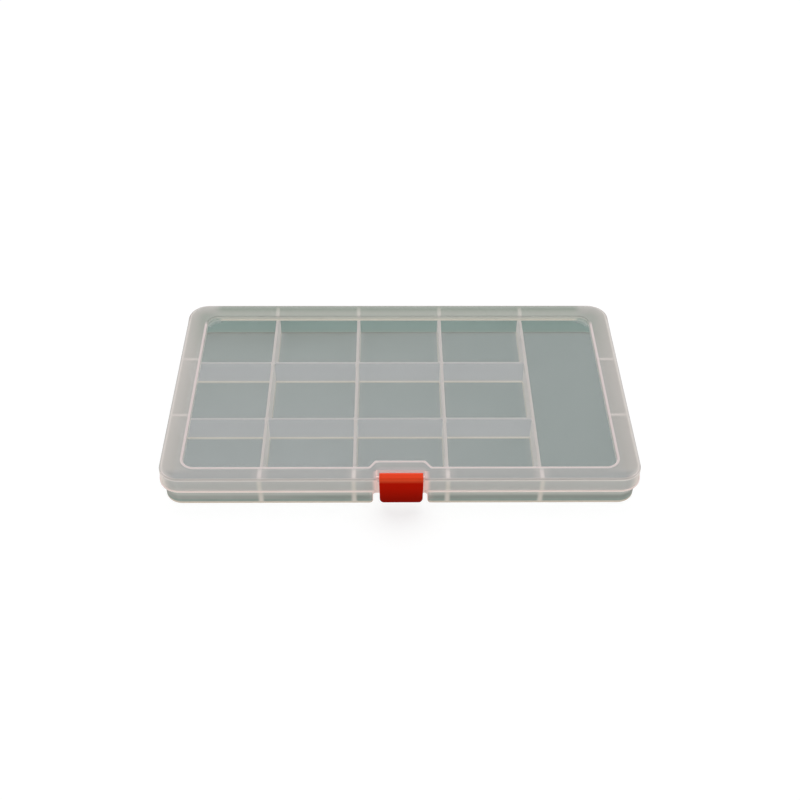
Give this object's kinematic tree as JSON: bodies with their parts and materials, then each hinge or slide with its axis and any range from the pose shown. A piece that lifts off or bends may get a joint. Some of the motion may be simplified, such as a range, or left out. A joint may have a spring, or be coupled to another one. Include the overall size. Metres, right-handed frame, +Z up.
{
  "type": "hinged compartment box",
  "caption": "Flat clear box with a hinged lid, fixed compartments for beads and small parts, a sunken lid panel and a snap latch at the front.",
  "frame": {"origin": "centre of the tray's underside, on the surface that the box rests on", "axes": "+X along the box to the right seen from the latch side, +Y from the latch to the hinge, +Z up"},
  "size_m": [0.2008, 0.1198, 0.016],
  "materials": {
    "frosted_plastic": "translucent polypropylene, slightly milky, with a soft moulded gloss and lighter edges",
    "red_plastic": "opaque red polypropylene with a soft moulded gloss"
  },
  "bodies": {
    "tray": {"tray": "frosted_plastic"},
    "lid": {"lid": "frosted_plastic"},
    "latch": {"latch": "red_plastic"}
  },
  "joints": [
    {"name": "lid_hinge", "type": "hinge", "parent": "tray", "child": "lid", "pos_m": [0, 0.0589, 0.009], "axis": [-1, 0, 0], "range_deg": [0, 180]},
    {"name": "latch_pivot", "type": "hinge", "parent": "lid", "child": "latch", "pos_m": [0, -0.05515, 0.0139], "axis": [-1, 0, 0], "range_deg": [0, 90]}
  ]
}
